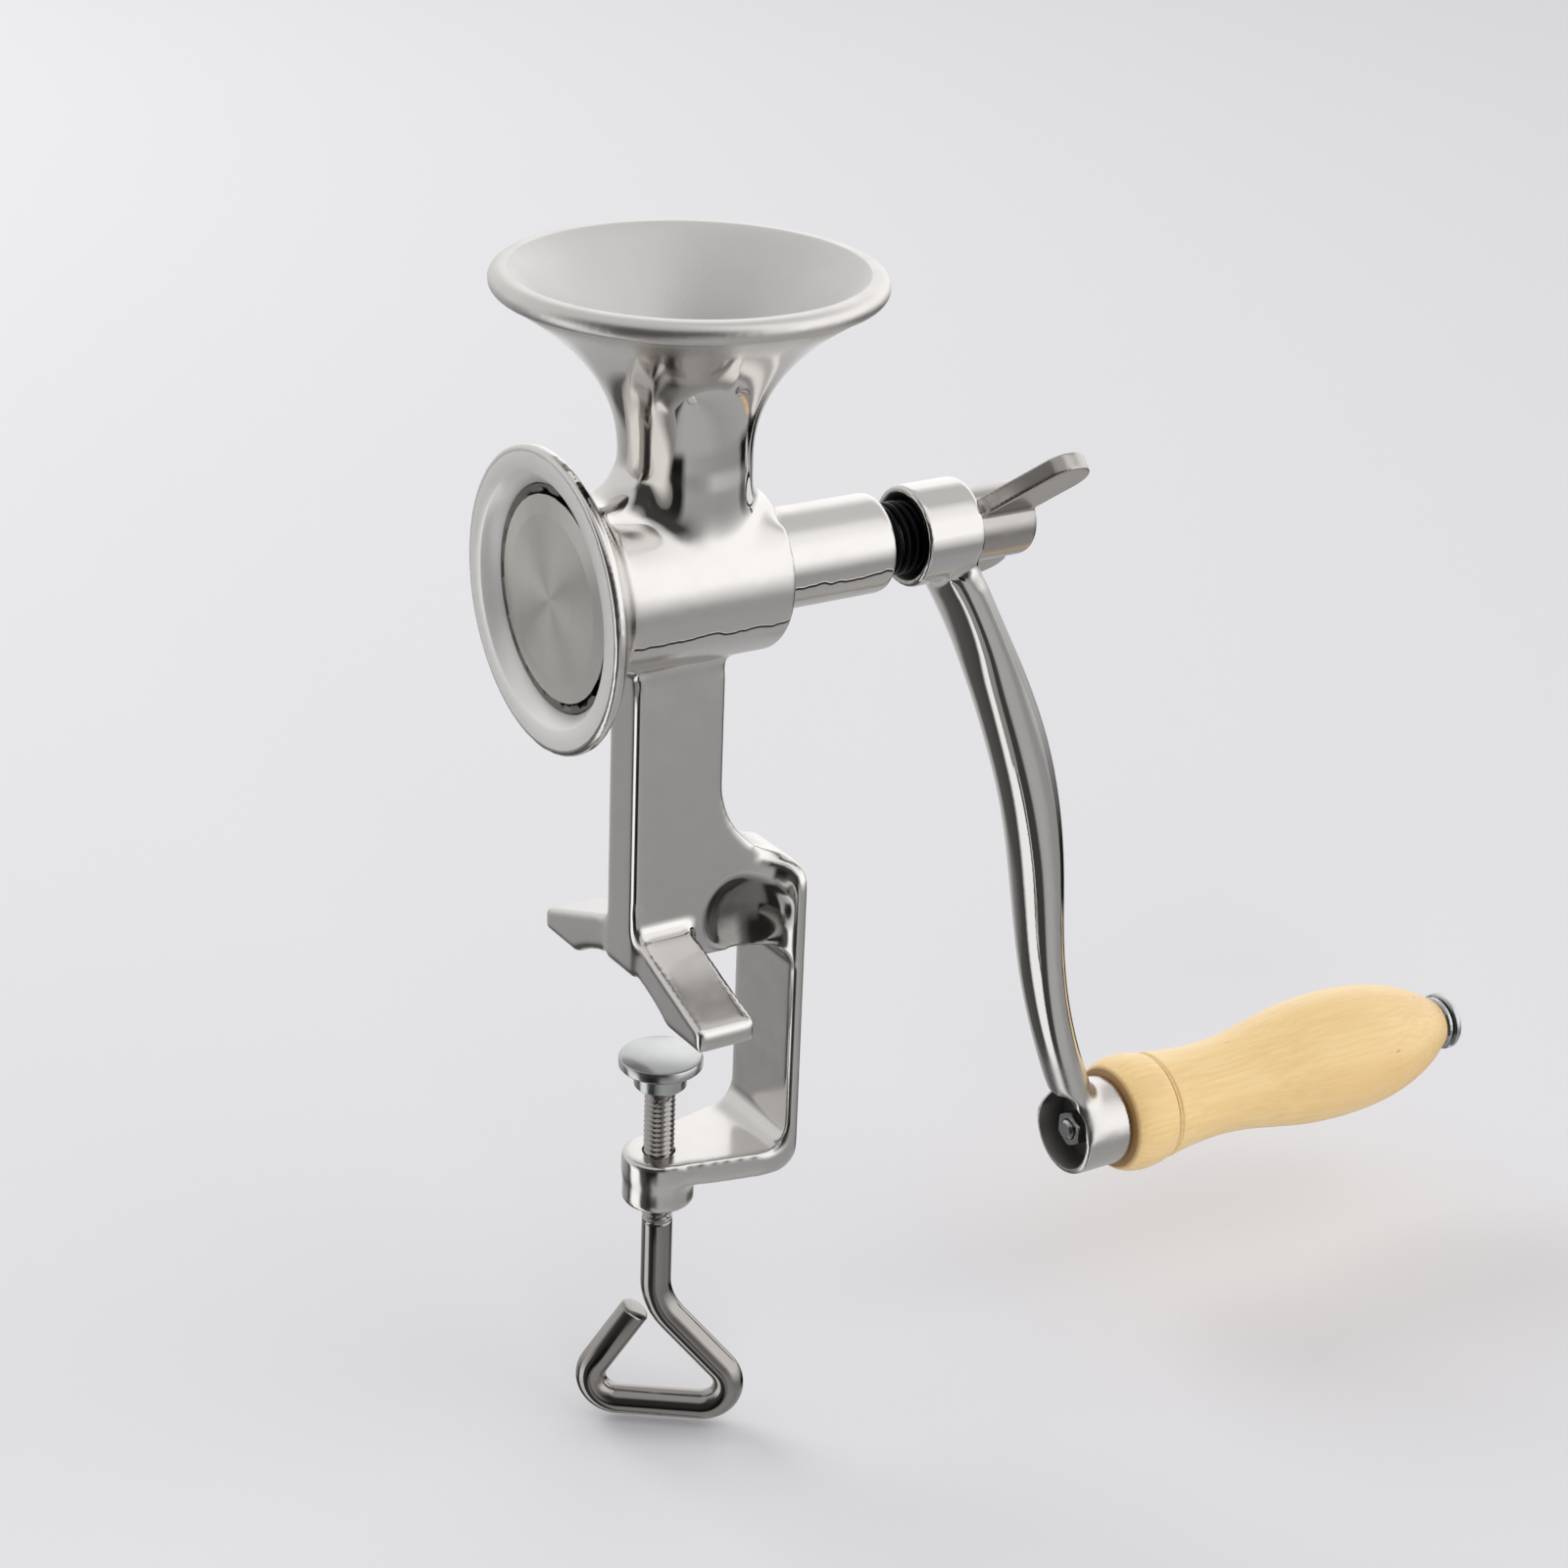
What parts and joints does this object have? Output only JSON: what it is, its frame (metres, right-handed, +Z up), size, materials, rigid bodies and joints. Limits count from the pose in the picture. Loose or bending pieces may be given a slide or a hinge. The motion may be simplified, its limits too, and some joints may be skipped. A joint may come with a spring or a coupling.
{
  "type": "hand grain mill",
  "caption": "Cast hand grain mill with a flared hopper, a toothed grinding cone in a dished head, a cranked shaft with a turned wooden grip, a wing nut and a bent-rod table clamp.",
  "frame": {"origin": "on the hopper's axis, at the level of the tabletop under the two feet", "axes": "+X along the barrel from the grinding head to the crank and its grip, +Y along the table's edge, +Z up through the hopper"},
  "size_m": [0.2799, 0.082, 0.2755],
  "materials": {
    "mill_body": "polished casting, as-cast satin inside the hopper",
    "fixed_burr_ring": "machined satin",
    "neck_bush": "plain bearing bronze",
    "grinding_cone": "satin face, cut teeth",
    "cone_pin": "plain",
    "feed_worm": "satin casting",
    "thrust_washer": "plain bearing bronze",
    "worm_pin": "plain",
    "drive_shaft": "turned",
    "adjusting_spring": "black oxide",
    "crank_arm": "polished casting, satin boss and eye",
    "wing_nut": "tumbled, polished edges",
    "wooden_grip": "pale clear-varnished beech with burnt lines",
    "grip_sleeve": "zinc plated",
    "bolt_end_washer": "zinc plated",
    "handle_bolt": "zinc plated",
    "lock_washer": "zinc plated",
    "handle_nut": "zinc plated",
    "clamp_pad": "nickel plated",
    "clamp_screw": "zinc plated rod"
  },
  "bodies": {
    "mill_body": {"mill_body": "mill_body", "fixed_burr_ring": "fixed_burr_ring", "neck_bush": "neck_bush"},
    "shaft": {"drive_shaft": "drive_shaft", "feed_worm": "feed_worm", "grinding_cone": "grinding_cone", "cone_pin": "cone_pin", "worm_pin": "worm_pin", "thrust_washer": "thrust_washer", "adjusting_spring": "adjusting_spring"},
    "crank": {"crank_arm": "crank_arm", "handle_bolt": "handle_bolt", "bolt_end_washer": "bolt_end_washer", "grip_sleeve": "grip_sleeve", "handle_nut": "handle_nut", "lock_washer": "lock_washer"},
    "nut": {"wing_nut": "wing_nut"},
    "grip": {"wooden_grip": "wooden_grip"},
    "pad": {"clamp_pad": "clamp_pad"},
    "screw": {"clamp_screw": "clamp_screw"}
  },
  "joints": [
    {"name": "crank_turn", "type": "hinge", "parent": "mill_body", "child": "shaft", "pos_m": [0, 0, 0.0944], "axis": [1, 0, 0], "continuous": true},
    {"name": "crank_slide", "type": "slide", "parent": "shaft", "child": "crank", "axis": [1, 0, 0], "range_m": [-0.002, 0.0025], "deforming": ["adjusting_spring"]},
    {"name": "wing_nut_turn", "type": "hinge", "parent": "crank", "child": "nut", "pos_m": [0.0786, 0, 0.0944], "axis": [1, 0, 0], "range_deg": [-577, 721]},
    {"name": "grip_spin", "type": "hinge", "parent": "crank", "child": "grip", "pos_m": [0.18, 0, -0.0697], "axis": [1, 0, 0], "continuous": true},
    {"name": "clamp_travel", "type": "slide", "parent": "mill_body", "child": "pad", "axis": [0, 0, 1], "range_m": [-0.016, 0.0188]},
    {"name": "clamp_turn", "type": "hinge", "parent": "pad", "child": "screw", "pos_m": [-0.0024, 0, -0.0251], "axis": [0, 0, 1], "range_deg": [-4600, 5400]}
  ],
  "couplings": [
    {"joint": "wing_nut_turn", "follows": "crank_slide", "rad_per_m": 5026.5},
    {"joint": "clamp_travel", "follows": "clamp_turn", "m_per_rad": 0.00019894}
  ]
}
